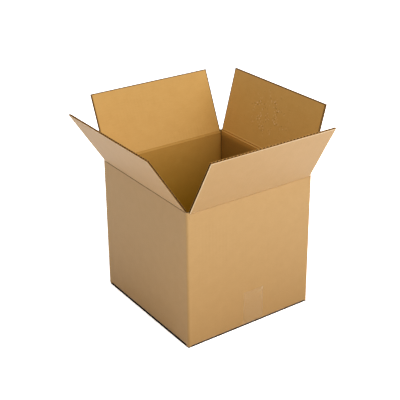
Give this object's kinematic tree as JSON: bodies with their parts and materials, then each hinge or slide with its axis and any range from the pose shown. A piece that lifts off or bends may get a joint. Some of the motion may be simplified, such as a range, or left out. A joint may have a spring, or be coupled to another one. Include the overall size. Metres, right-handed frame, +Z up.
{
  "type": "open cardboard box",
  "caption": "Slotted shipping carton of corrugated kraft board, standing open, with four hinged top flaps and a taped bottom.",
  "frame": {"origin": "underside of the tape in the middle of the carton's base, on the surface it stands on", "axes": "+X along the taped front wall to the right, -Y out of the taped front wall, +Z up"},
  "size_m": [0.4272, 0.4407, 0.4429],
  "materials": {
    "kraft_board": "uncoated kraft liner, matt, with the flutes showing faintly",
    "clear_film": "clear adhesive film, glossy"
  },
  "bodies": {
    "carton": {"carton_shell": "kraft_board", "closure_tape": "clear_film"},
    "left_top_flap": {"flap_left": "kraft_board"},
    "right_top_flap": {"flap_right": "kraft_board"},
    "front_top_flap": {"flap_front": "kraft_board"},
    "back_top_flap": {"flap_back": "kraft_board"}
  },
  "joints": [
    {"name": "left_flap_fold", "type": "hinge", "parent": "carton", "child": "left_top_flap", "pos_m": [-0.1542, 0, 0.301], "axis": [0, 1, 0], "range_deg": [-122, 123]},
    {"name": "right_flap_fold", "type": "hinge", "parent": "carton", "child": "right_top_flap", "pos_m": [0.1542, 0, 0.301], "axis": [0, -1, 0], "range_deg": [-140, 105]},
    {"name": "front_flap_fold", "type": "hinge", "parent": "carton", "child": "front_top_flap", "pos_m": [0, -0.1557, 0.2966], "axis": [-1, 0, 0], "range_deg": [-126, 119]},
    {"name": "back_flap_fold", "type": "hinge", "parent": "carton", "child": "back_top_flap", "pos_m": [0, 0.1557, 0.2966], "axis": [1, 0, 0], "range_deg": [-132, 113]}
  ]
}
